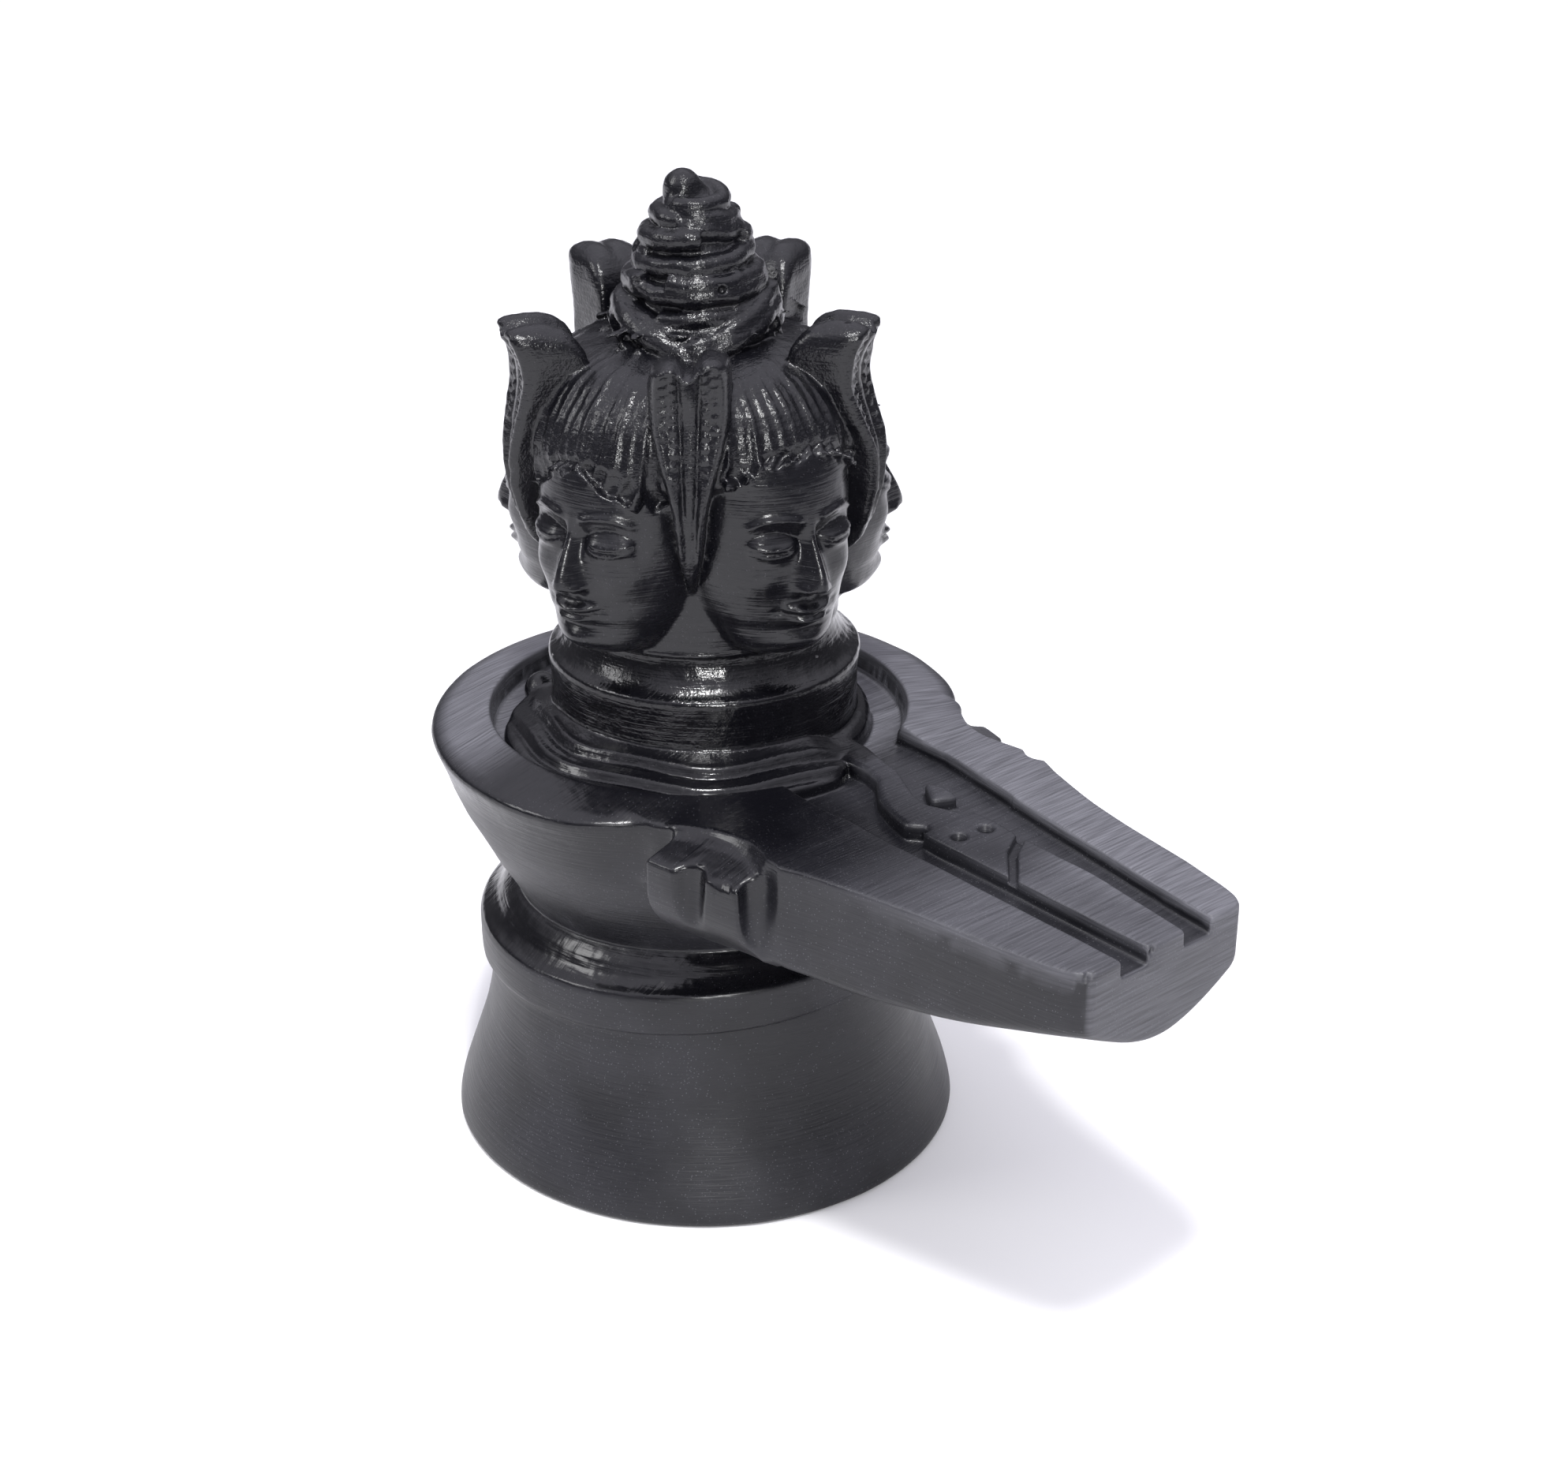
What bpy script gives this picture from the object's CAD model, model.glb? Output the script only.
import math
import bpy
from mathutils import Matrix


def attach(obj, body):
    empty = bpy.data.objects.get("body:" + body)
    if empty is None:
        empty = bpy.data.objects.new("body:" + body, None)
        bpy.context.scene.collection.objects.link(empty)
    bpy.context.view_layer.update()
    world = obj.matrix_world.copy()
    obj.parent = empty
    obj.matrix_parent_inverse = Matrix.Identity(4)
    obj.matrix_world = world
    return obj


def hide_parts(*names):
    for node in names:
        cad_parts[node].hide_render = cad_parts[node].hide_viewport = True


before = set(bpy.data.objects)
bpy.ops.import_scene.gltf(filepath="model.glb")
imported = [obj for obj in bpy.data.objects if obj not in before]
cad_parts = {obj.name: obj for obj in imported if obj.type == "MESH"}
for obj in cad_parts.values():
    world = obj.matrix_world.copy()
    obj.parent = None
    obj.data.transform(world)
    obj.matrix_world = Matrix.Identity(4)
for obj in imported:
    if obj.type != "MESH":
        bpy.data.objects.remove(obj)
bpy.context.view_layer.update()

from concurrent.futures import ThreadPoolExecutor

import bpy
import numpy as np
import openvdb
from mathutils import Matrix, Vector

metresPerMm = 0.001
degree = math.pi / 180

# The stone is carved as one field of distances in millimetres, negative inside, on a fine grid
carving = {"voxel": 0.2, "splitHeight": 57.0, "triangles": 188000, "slab": 24}


# Curves, noise and ways to blend two forms

def smoothStep(low, high, value):
    t = np.clip((value - low) / (high - low), 0, 1)
    return t * t * (3 - 2 * t)


def bump(value, centre, width):
    return np.exp(-((value - centre) / width) ** 2)


def softMin(a, b, fillet):
    reach = np.maximum(fillet - np.abs(a - b), 0) / fillet
    return np.minimum(a, b) - reach * reach * fillet * 0.25


def softMax(a, b, fillet):
    return -softMin(-a, -b, fillet)


def along(pairs, place):
    # a smooth curve through [place, value] pairs that never overshoots them
    x, y = np.array(pairs, float).T
    step = np.diff(x)
    rise = np.diff(y) / step
    product = rise[:-1] * rise[1:]
    total = np.where(product > 0, rise[:-1] + rise[1:], 1)
    lean = np.concatenate([rise[:1], np.where(product > 0, 2 * product / total, 0), rise[-1:]])
    i = np.clip(np.searchsorted(x, place) - 1, 0, len(step) - 1)
    t = np.clip((place - x[i]) / step[i], 0, 1)
    start = y[i] + (lean[i] * step[i]) * t
    bend = (3 * rise[i] - 2 * lean[i] - lean[i + 1]) * step[i]
    curl = (lean[i] + lean[i + 1] - 2 * rise[i]) * step[i]
    return start + bend * t ** 2 + curl * t ** 3


def ringPoints(radius, turn, z):
    # points at a distance from the axis, a turn in radians and a height
    return np.stack([radius * np.cos(turn), radius * np.sin(turn), z + 0 * turn], -1)


def ballsField(x, y, z, balls):
    # distance to the nearest of some balls, each [x, y, z, radius]
    return np.minimum.reduce([np.sqrt((x - a) ** 2 + (y - b) ** 2 + (z - c) ** 2) - radius
                              for a, b, c, radius in balls])


def latticeNoise(points, size, seed):
    # smooth random hills of a given size in mm, from about -1 to 1, the same on every run
    table = np.random.default_rng(seed).uniform(-1, 1, (32, 32, 32)).astype(np.float32)
    place = (points / size + 64).astype(np.float32)
    cell = np.floor(place).astype(np.int32)
    t = place - cell
    t = t * t * (3 - 2 * t)
    total = np.zeros(len(points), np.float32)
    for corner in np.ndindex(2, 2, 2):
        i, j, k = (((cell[:, axis] + corner[axis]) % 32) for axis in range(3))
        a, b, c = (t[:, axis] if corner[axis] else 1 - t[:, axis] for axis in range(3))
        total += a * b * c * table[i, j, k]
    return total


def outlineField(points, soften=0.0, step=0.1, margin=4.0):
    # distance to a closed flat outline, negative inside, kept in a fine table and read by place
    points = np.array(points, float)
    low = points.min(0) - margin
    shape = np.ceil((points.max(0) + margin - low) / step).astype(int) + 1
    u = low[0] + np.arange(shape[0])[:, None] * step
    v = low[1] + np.arange(shape[1])[None, :] * step
    nearest = np.full(shape, 1e9)
    inside = np.zeros(shape, bool)
    for (au, av), (bu, bv) in zip(points, np.roll(points, -1, 0)):
        du, dv = bu - au, bv - av
        t = np.clip(((u - au) * du + (v - av) * dv) / (du * du + dv * dv), 0, 1)
        nearest = np.minimum(nearest, np.hypot(u - au - t * du, v - av - t * dv))
        if dv != 0:
            inside ^= ((av > v) != (bv > v)) & (u < au + (v - av) * du / dv)
    table = np.where(inside, -nearest, nearest)
    for _ in range(round(2 * (soften / step) ** 2)):
        for axis in (0, 1):
            edge = np.concatenate([table.take([0], axis), table, table.take([-1], axis)], axis)
            count = table.shape[axis]
            table = (edge.take(range(count), axis) + 2 * table + edge.take(range(2, count + 2), axis)) / 4
    table = table.astype(np.float32)

    def read(a, b):
        a = np.clip((a - low[0]) / step, 0, shape[0] - 1.001)
        b = np.clip((b - low[1]) / step, 0, shape[1] - 1.001)
        i, j = a.astype(np.int32), b.astype(np.int32)
        a, b = (a - i).astype(np.float32), (b - j).astype(np.float32)
        lower = table[i, j] * (1 - a) + table[i + 1, j] * a
        upper = table[i, j + 1] * (1 - a) + table[i + 1, j + 1] * a
        return lower * (1 - b) + upper * b

    return read


# Foot: a bell turned on a lathe, a little off the axis of the rest
foot = {"radius": 27.5, "waist": 22.4, "flareHeight": 11, "flarePower": 1.6, "top": 22.8,
        "shift": (0.25, 0.31), "edge": 0.9}


def footField(x, y, z):
    flare = np.exp(-(np.maximum(z, 0) / foot["flareHeight"]) ** foot["flarePower"])
    radius = foot["waist"] + (foot["radius"] - foot["waist"]) * flare
    side = 0.95 * (np.hypot(x - foot["shift"][0], y - foot["shift"][1]) - radius)
    return softMax(softMax(side, -z, foot["edge"]), z - foot["top"], 0.3)


# Collar: a band that sits out of level, with a hollow slope above it
collar = {"tilt": 3.4, "lowSide": 236,
          "profile": [(-9, 18.6), (22.2, 18.6), (22.7, 20.9), (23.4, 21.2), (23.8, 21.5), (23.85, 23),
                      (23.85, 25.4), (23.6, 25.9), (22.9, 26.2), (22.0, 26.9), (21.2, 28.0),
                      (20.2, 28.9), (19.4, 29.2), (-9, 29.2)]}
collarProfile = outlineField(collar["profile"], 0.16)


def collarField(x, y, z):
    turn = collar["lowSide"] * degree
    towardLow = x * math.cos(turn) + y * math.sin(turn)
    return collarProfile(np.hypot(x, y), z + towardLow * math.sin(collar["tilt"] * degree))


# Bowl: its basin has an upright wall and a flat floor, and a coiled body lies round the pillar's foot
bowl = {"profile": [(-9, 24.4), (19.2, 24.4), (19.25, 27.4), (20.8, 30.3), (22.4, 33.0), (23.9, 35.8),
                    (25.3, 38.5), (26.4, 41.2), (27.2, 43.5), (27.8, 45.0), (28.1, 45.7), (27.9, 46.2),
                    (26.3, 46.75), (24.0, 47.35), (22.3, 47.8), (21.9, 47.8), (21.75, 46.6),
                    (21.6, 45.3), (21.3, 45.1), (17.9, 45.1), (18.1, 46.0), (17.9, 47.0), (17.3, 47.7),
                    (16.6, 47.85), (16.1, 47.5), (-9, 47.5)],
        "scoopNear": (0.13, -47, 13), "scoopFar": (0.04, 47, 11)}
bowlProfile = outlineField(bowl["profile"], 0.14)


def bowlField(x, y, z):
    radius = np.hypot(x, y)
    angle = np.arctan2(y, x) / degree
    scoop = 0
    for depth, centre, width in (bowl["scoopNear"], bowl["scoopFar"]):
        scoop = scoop + depth * bump(angle, centre, width)
    outer = smoothStep(21.9, 28.05, radius) * smoothStep(34, 44, z)
    return bowlProfile(radius * (1 + outer * scoop), z)


# Coil: the snake's body lies round the front of the neck, from the end of its tail to where it leaves
# for the spout, and slopes from the neck down to the rim with two wavy folds along it
coil = {"tail": -152, "leaves": 6, "grows": 55, "fades": (14, -8), "inner": (15, 49.6),
        "outer": (21.7, 47.2), "thin": 18.4, "floor": 44, "fold": 0.3, "foldWidth": 0.42,
        "creaseWidth": 0.35, "folds": (17.6, 19.9), "wave": (0.35, 24), "drift": 0.012,
        "tailRadius": 1.9, "tailPlace": (17.6, 46.6), "tailFlat": 0.8}


def coilField(x, y, z):
    radius = np.hypot(x, y)
    angle = np.arctan2(y, x) / degree
    fadeEnd, fadeStart = coil["fades"]
    share = smoothStep(coil["tail"], coil["tail"] + coil["grows"], angle)
    share = share * smoothStep(coil["leaves"] + fadeEnd, coil["leaves"] + fadeStart, angle)
    (near, high), (far, low) = coil["inner"], coil["outer"]
    far = coil["thin"] + (far - coil["thin"]) * share
    top = low + (high - low) * smoothStep(far, near, radius) * (0.35 + 0.65 * share)
    wave = coil["wave"][0] * np.sin(angle / coil["wave"][1] * math.pi) + coil["drift"] * (angle + 60)
    for fold in coil["folds"]:
        ridge = bump(radius, fold + wave, coil["foldWidth"])
        crease = bump(radius, fold + wave + 0.75, coil["creaseWidth"])
        top = top + coil["fold"] * share * (ridge - 1.2 * crease)
    body = softMax(0.8 * (z - top), radius - far, 0.9)
    within = (angle > coil["tail"]) & (angle < coil["leaves"] + fadeEnd)
    body = np.where(within, softMax(body, coil["floor"] - z, 0.3), 9)
    turn = (coil["tail"] + 5) * degree
    reach, height = coil["tailPlace"]
    sideways = (x - reach * math.cos(turn)) ** 2 + (y - reach * math.sin(turn)) ** 2
    tail = np.sqrt(sideways + coil["tailFlat"] * (z - height) ** 2)
    return softMin(body, tail - coil["tailRadius"], 0.8)


# Neck: an upright band with a sharp shoulder and a hollow slope up to the throat
neck = {"shift": (0.38, 0.46),
        "profile": [(-9, 42), (16.2, 42), (16.15, 46), (16.0, 48.5), (16.0, 52), (16.25, 54.3),
                    (16.1, 54.8), (15.5, 55.0), (14.9, 55.5), (14.2, 56.4), (13.7, 57.4), (13.4, 58.6),
                    (13.3, 60), (11.4, 63), (-9, 63)]}
neckProfile = outlineField(neck["profile"], 0.14)


def neckField(x, y, z):
    return neckProfile(np.hypot(x - neck["shift"][0], y - neck["shift"][1]), z)


# Spout: flat on top, upright at the sides and keeled below; its edges pull in and then swell
spout = {"top": 47.3, "root": 46.2, "end": 65.5, "sideFoot": 35.6, "keelDrop": 6.6, "basinRadius": 21.8,
         "basinFloor": 45.1, "keelEnd": 3.9, "endClimb": 3, "lipClimb": 3.3, "rootClimb": 5,
         "bracketClimb": 1.4,
         "nearEdge": [(11, 20), (16.5, 20), (20.6, 17.6), (24, 16.5), (27, 16.2), (29.5, 16.8),
                      (31.5, 17.7), (36, 16.4), (43.5, 14.7), (51.5, 13.3), (60, 12), (64, 10.9),
                      (65.5, 9.9)],
         "farEdge": [(11, 20), (16.5, 22), (19, 19.9), (22, 18.1), (25, 17.6), (31.5, 18.3), (36, 16.8),
                     (43.5, 14.7), (51.5, 13.3), (60, 12), (64, 10.9), (65.5, 9.9)]}


def undersideField(x, y, z, side):
    climb = spout["endClimb"] * smoothStep(30, spout["end"], x)
    climb = climb + spout["lipClimb"] * smoothStep(48, spout["end"] + 8, x)
    root = spout["rootClimb"] * smoothStep(20, 11, x) + spout["bracketClimb"] * smoothStep(42, 27, x)
    sideFoot = spout["sideFoot"] + root + climb
    keel = spout["keelDrop"] + (spout["keelEnd"] - spout["keelDrop"]) * smoothStep(20, spout["end"], x)
    across = np.clip(y / side, -1, 1)
    return 0.85 * (sideFoot - keel * np.cos(across * math.pi / 2) - z)


def spoutField(x, y, z):
    side = np.where(y > 0, along(spout["farEdge"], x), along(spout["nearEdge"], x))
    top = spout["root"] + (spout["top"] - spout["root"]) * smoothStep(12, 30, x)
    body = softMax(0.97 * (np.abs(y) - side), z - top, 0.5)
    body = softMax(body, undersideField(x, y, z, side), 0.8)
    body = softMax(body, np.maximum(x - spout["end"], 11 - x), 0.5)
    basin = np.maximum(np.hypot(x, y) - spout["basinRadius"], spout["basinFloor"] - z)
    return softMax(body, -basin, 0.3)


# Brackets: lower shoulders on both sides of the spout's root, each with two upright gouges
bracket = {"start": 19.4, "end": 30.6, "top": 44.6, "topSlope": 0.35,
           "edge": [(19.4, 23), (22.5, 22.4), (26.5, 21.3), (30.6, 20.4)],
           "gouges": [(24.8, 22.2), (31.5, 19.2)], "gougeRadius": 1.7, "gougeDepth": 6.5,
           "underHeight": 38.9, "underSlope": 0.8, "underReach": 4.4, "underBlend": 2.2}


def bracketField(x, y, z):
    side = along(bracket["edge"], x)
    inward = np.clip(side - np.abs(y), 0, bracket["underReach"])
    top = bracket["top"] + bracket["topSlope"] * inward
    body = softMax(0.97 * (np.abs(y) - side), 0.95 * (z - top), 0.4)
    under = bracket["underHeight"] - bracket["underSlope"] * inward - z
    body = softMax(body, 0.78 * under, bracket["underBlend"])
    return softMax(body, np.maximum(x - bracket["end"], bracket["start"] - x), 0.4)


def gougeField(x, y, z):
    cuts = 1e3
    for placeX, placeY in bracket["gouges"]:
        low = bracket["top"] - bracket["gougeDepth"]
        radius = bracket["gougeRadius"] * (0.75 + 0.25 * smoothStep(low, bracket["top"], z))
        tube = np.hypot(x - placeX, np.abs(y) - placeY) - radius
        cuts = np.minimum(cuts, softMax(tube, low - z, 1.5))
    return cuts


# Channels: a pocket in front of the pillar, and two runs out of it along the spout
channel = {"floor": 45.5, "wall": 0.25,
           "pocket": [(20, -6.6), (30, -6.1), (36.5, -6.1), (36.5, 9.9), (25, 11.6), (17.8, 11.6)],
           "near": [(30, -6.1), (68.5, -6.05), (68.5, -2.5), (30, -2.5)],
           "far": [(25, 11.6), (38.5, 9.4), (50.6, 7.7), (61.6, 6.3), (68.5, 5.7), (68.5, 1.9),
                   (54.2, 3.8), (42.6, 4.2), (36, 4.4), (25, 6)]}
channelRuns = [outlineField(channel[name], 0.1) for name in ("pocket", "near", "far")]


def channelField(x, y, z):
    flat = np.minimum.reduce([run(x, y) for run in channelRuns])
    return softMax(flat, channel["floor"] - z, 0.5)


# Snake: its neck leaves the coil in a wave and its flat head lies on the strip between the channels
snake = {"top": 47.3,
         "left": [(14.5, 1.2), (18.5, 2.6), (23, 2.7), (25, 2.1), (28.3, -0.6), (31.6, -1.9), (34.2, -2.5),
                  (35.6, -1.2), (38, -2.5), (41, -2.5)],
         "right": [(41, 4.2), (39, 4.7), (35, 3.3), (32.2, 2.2), (30, 2.7), (27.5, 3.9), (25, 5.2),
                   (22, 5.8), (19, 6.6), (14.5, 6.8)],
         "leaf": [(28, 5.8), (30.3, 6.4), (32.8, 6), (31.6, 3.4)],
         "eyes": [(39.4, -0.5), (39.9, 2.6)], "eyeRadius": 0.85, "eyeDepth": 1.3, "eyeSlope": 0.3,
         "mouthDepth": 0.8,
         "mouth": [(42.2, 4.8), (43.2, 4.8), (45.2, 1.6), (49.5, -2.8), (48.4, -2.8), (44.4, 1)]}
snakeOutline = outlineField(snake["left"] + snake["right"], 0.25)
leafOutline = outlineField(snake["leaf"], 0.25)
mouthOutline = outlineField(snake["mouth"], 0.1)


def snakeField(x, y, z):
    body = softMax(snakeOutline(x, y), z - snake["top"], 0.7)
    leaf = softMax(leafOutline(x, y), z - snake["top"] + 0.3, 0.5)
    return np.maximum(np.minimum(body, leaf), 42 - z)


def snakeCuts(x, y, z):
    depth = z - snake["top"]
    cuts = np.maximum(mouthOutline(x, y), -snake["mouthDepth"] - depth)
    for placeX, placeY in snake["eyes"]:
        drill = np.hypot(x - placeX, y - placeY) - snake["eyeRadius"] - snake["eyeSlope"] * depth
        cuts = np.minimum(cuts, np.maximum(drill, -snake["eyeDepth"] - depth))
    return cuts


def baseField(x, y, z):
    stone = softMin(footField(x, y, z), collarField(x, y, z), 0.15)
    stone = softMin(stone, bowlField(x, y, z), 0.4)
    sides = softMin(spoutField(x, y, z), bracketField(x, y, z), 1.8)
    stone = softMin(stone, sides, 1.3)
    stone = softMax(stone, -gougeField(x, y, z), 0.5)
    stone = softMax(stone, -channelField(x, y, z), channel["wall"])
    stone = softMin(stone, coilField(x, y, z), 0.4)
    stone = softMin(stone, snakeField(x, y, z), 0.3)
    stone = softMax(stone, -snakeCuts(x, y, z), 0.2)
    stone = softMin(stone, neckField(x, y, z), 0.25)
    return softMax(stone, -chipsField(x, y, z), 0.25)


# Chips: small breaks at the edges, as [x, y, z, size]
chips = {"each": [(65.9, -10.6, 47.6, 1.5), (63.6, -11.6, 47.9, 1.0), (28.6, -21.4, 45.2, 1.3),
                  (31.2, -19.6, 45.3, 1.1), (24.1, -22.9, 45.2, 0.9), (65.8, -2.2, 47.4, 0.8)],
         "ragged": 0.45}


def chipsField(x, y, z):
    ragged = np.sin(x * 2.1 + y * 3.3) * np.sin(y * 2.7 - z * 3.9) * np.sin(z * 2.3 + x * 3.1)
    return ballsField(x, y, z, chips["each"]) + chips["ragged"] * ragged


# Head: rows of [radius, height, how far the five lobes stand apart, lobe half-width] from throat to crown
head = {"count": 5, "firstAngle": -5.8, "hairlines": (80.2, 79.6, 79.9, 79.4, 78.7), "chin": 59.9,
        "faceTop": 80, "recess": 14.4, "hairStep": 0.6, "hairArch": 0.045, "around": 1080, "up": 360,
        "rows": [(10, 56.5, 0, 5), (13.2, 58.4, 0.5, 5), (16.6, 59.5, 1, 4.2), (18.2, 60.2, 1, 5),
                 (18.9, 61.5, 1, 6), (18.9, 62.9, 1, 6.8), (19.2, 64.1, 1, 7.4), (19.3, 65.7, 1, 7.9),
                 (19.4, 67, 1, 8.2), (19.5, 68.6, 1, 8.5), (19.5, 70.3, 1, 8.7), (19.6, 72.4, 1, 8.8),
                 (19.7, 74.6, 1, 8.8), (19.4, 76.6, 1, 8.8), (19.1, 77.9, 0.85, 8.8),
                 (18.3, 80, 0.6, 8.8), (17.2, 82.6, 0.35, 8.8), (15.5, 85, 0.25, 8.8),
                 (13.2, 87, 0.15, 8.8), (10.2, 88.3, 0.05, 8.8), (6.5, 89.2, 0, 8.8), (0.4, 89.6, 0, 8.8)]}


# Face: calm, on even thirds, with lowered lids. Its rounded forms are [push in mm, mm from the middle, half
# its width, height, half its height], where heights run from 0 at the chin to 1 at the hair
face = {"forms": {"wings": (0.75, 1.35, 0.55, 0.372, 0.028), "nostrils": (-0.3, 0.75, 0.3, 0.335, 0.014),
                  "sockets": (-0.8, 3.1, 2.5, 0.635, 0.055), "inner sockets": (-0.5, 1.3, 0.9, 0.6, 0.06),
                  "mouth corners": (-0.25, 3.4, 0.5, 0.255, 0.02), "muzzle": (0.65, 0, 3.1, 0.25, 0.085),
                  "over the lip": (-0.15, 0, 0.35, 0.297, 0.02), "cheeks": (0.7, 4.9, 2.2, 0.43, 0.11),
                  "under the lip": (-0.25, 0, 2.0, 0.16, 0.02), "chin": (0.95, 0, 2.4, 0.09, 0.055)},
        "eyeLine": 0.6, "eyeMiddle": 3.85, "eyeHalf": 2.65, "browLine": 0.705, "brow": 0.42,
        "mouthLine": 0.235}


def faceRelief(across, up):
    # how far the face stands out: across is mm from its middle, up runs from chin 0 to hair 1
    side = np.abs(across)
    height = (up - face["eyeLine"]) * (head["faceTop"] - head["chin"])
    nose = 0.6 + 2.1 * smoothStep(0.68, 0.38, up)
    nose = nose * bump(across, 0, 0.8 + 0.55 * smoothStep(0.6, 0.37, up))
    nose = nose * smoothStep(0.325, 0.385, up) * smoothStep(0.76, 0.62, up)
    browLine = face["browLine"] + 0.03 * bump(side, 3.7, 2.4) - 0.02 * smoothStep(4.5, 7, side)
    brow = face["brow"] * bump(up, browLine, 0.018) * smoothStep(0.5, 1.6, side) * smoothStep(7.4, 5.8, side)
    opening = np.clip(1 - ((side - face["eyeMiddle"]) / face["eyeHalf"]) ** 2, 0, 1)
    ball = np.sqrt(opening) * bump(height, 0.1, 1.25)
    lidCrease = -0.26 * bump(height, opening + 0.45, 0.19) * smoothStep(0, 0.3, opening)
    upperLid = 0.2 * bump(height, -0.42 * opening + 0.2, 0.2)
    slit = -0.34 * bump(height, -0.55 * opening - 0.02, 0.13)
    lowerLid = 0.2 * bump(height, -0.85 * opening - 0.15, 0.2)
    lids = lidCrease + (upperLid + slit + lowerLid) * smoothStep(-0.02, 0.12, opening)
    mouthLine = face["mouthLine"] + 0.0022 * side ** 2
    bow = mouthLine + 0.024 - 0.007 * bump(across, 0, 0.5)
    upperLip = 0.75 * bump(up, bow, 0.02) * smoothStep(3.1, 1.2, side)
    lowerLip = 0.9 * bump(up, mouthLine - 0.032, 0.024) * smoothStep(2.6, 0.8, side)
    parting = -0.32 * bump(up, mouthLine, 0.008) * smoothStep(3.4, 2.5, side)
    relief = nose + brow + ball + lids + upperLip + lowerLip + parting
    for push, middle, wide, level, tall in face["forms"].values():
        relief = relief + push * bump(side, middle, wide) * bump(up, level, tall)
    return relief


def faceAt(turn):
    # which face a turn in degrees falls on, and how many degrees it is from that face's middle
    step = 360 / head["count"]
    turned = turn - head["firstAngle"] + step / 2
    return np.floor(turned / step).astype(int) % head["count"], turned % step - step / 2


def headSurface(place, turn, relief=1):
    # points of the head at a place along its rows and a turn in degrees, and the hairline's height there
    rows = list(zip(*head["rows"]))
    radius, z, lobe, half = (along(list(enumerate(column)), place) for column in rows)
    which, local = faceAt(turn)
    local = local * degree
    middle = radius - half
    behind = half ** 2 - (middle * np.sin(local)) ** 2
    lobeReach = np.where(behind > 0, middle * np.cos(local) + np.sqrt(np.maximum(behind, 0)), 0)
    lobed = softMax(lobeReach, np.minimum(radius, head["recess"]) + 0 * local, 0.8)
    across = radius * np.sin(local)
    hairline = np.array(head["hairlines"])[which] - head["hairArch"] * across ** 2
    up = (z - head["chin"]) / (head["faceTop"] - head["chin"])
    skin = smoothStep(head["chin"] - 1, head["chin"] + 0.6, z)
    skin = skin * smoothStep(hairline + 0.3, hairline - 0.5, z)
    reach = radius + (lobed - radius) * lobe
    hairy = smoothStep(hairline - 0.1, hairline + 1.5, z) * smoothStep(3, 9, radius)
    reach = reach + head["hairStep"] * hairy
    if relief:
        reach = reach + faceRelief(across, up) * smoothStep(9, 6, np.abs(across)) * skin
    return ringPoints(reach, turn * degree, z), hairline + 0 * reach


def headMesh():
    place = np.linspace(0, len(head["rows"]) - 1, head["up"])[:, None]
    turn = np.linspace(-180, 180, head["around"], endpoint=False)[None, :]
    return closedLoft(headSurface(place, turn)[0])


def closedLoft(points):
    # corners and four-sided faces of a skin through rows of points, closed at both ends
    rows, around = points.shape[:2]
    index = np.arange(rows * around).reshape(rows, around)
    beside = np.roll(index, -1, 1)
    faces = np.stack([index[:-1], beside[:-1], beside[1:], index[1:]], -1).reshape(-1, 4)
    ends = np.stack([points[0].mean(0), points[-1].mean(0)])
    first, last = rows * around, rows * around + 1
    caps = [np.stack([index[0], 0 * index[0] + first, beside[0]], -1),
            np.stack([index[-1], beside[-1], 0 * index[-1] + last], -1)]
    return np.concatenate([points.reshape(-1, 3), ends]), faces, np.concatenate(caps)


# Hoods: a bordered heart on a stem that follows the hair and curls outward into a thick rounded top.
# Each has its angle, the height of its top, how far that leans out, how much one lobe is higher and
# how deep the notch between the lobes is.
# The side profile is [distance from the axis, height], for a top at the height named below it.
hood = {"each": [(-41.8, 90.9, 0, 0.13, 1.5), (30.2, 91.2, -1.1, 0.02, 1), (110, 93.5, -0.8, -0.05, 0.3),
                 (174.2, 93.3, -0.4, 0.06, 0.3), (246.2, 90.7, 0, -0.04, 1)],
        "face": [(14.2, 65.6), (16.6, 67.5), (18.2, 70.5), (19.0, 74), (19.2, 77), (19.0, 79.6),
                 (18.5, 82.3), (18.1, 84.5), (18.15, 86), (18.45, 87.4), (18.9, 88.6), (19.3, 89.5)],
        "back": [(19.35, 90.1), (18.9, 90.6), (18.0, 90.9), (16.6, 91.0), (15.2, 90.8), (13.9, 90.2),
                 (12.9, 89.3), (12.2, 88.1), (12, 86), (13, 80), (12.6, 65)],
        "top": 90.9, "stretchFrom": 78, "roundness": 0.035, "trench": 0.55, "trenchDepth": 1.5,
        "trenchLow": 66,
        "halfWidth": [(64.9, 0.25), (66.5, 0.45), (68, 0.62), (70, 0.98), (72, 1.25), (74, 1.45),
                      (76, 1.78), (78, 2.2), (80, 2.75), (82, 3.22), (84, 3.64), (86, 3.86), (88, 3.95),
                      (89.6, 3.7), (90.6, 3.1), (91.3, 2.2)],
        "border": 0.5, "groove": 0.42, "beads": 0.3, "beadRows": (1.5, 2.4), "beadSpacing": 1.1}
hoodProfile = outlineField([(13.2, 64.8)] + hood["face"] + hood["back"], 0.2)


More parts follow.
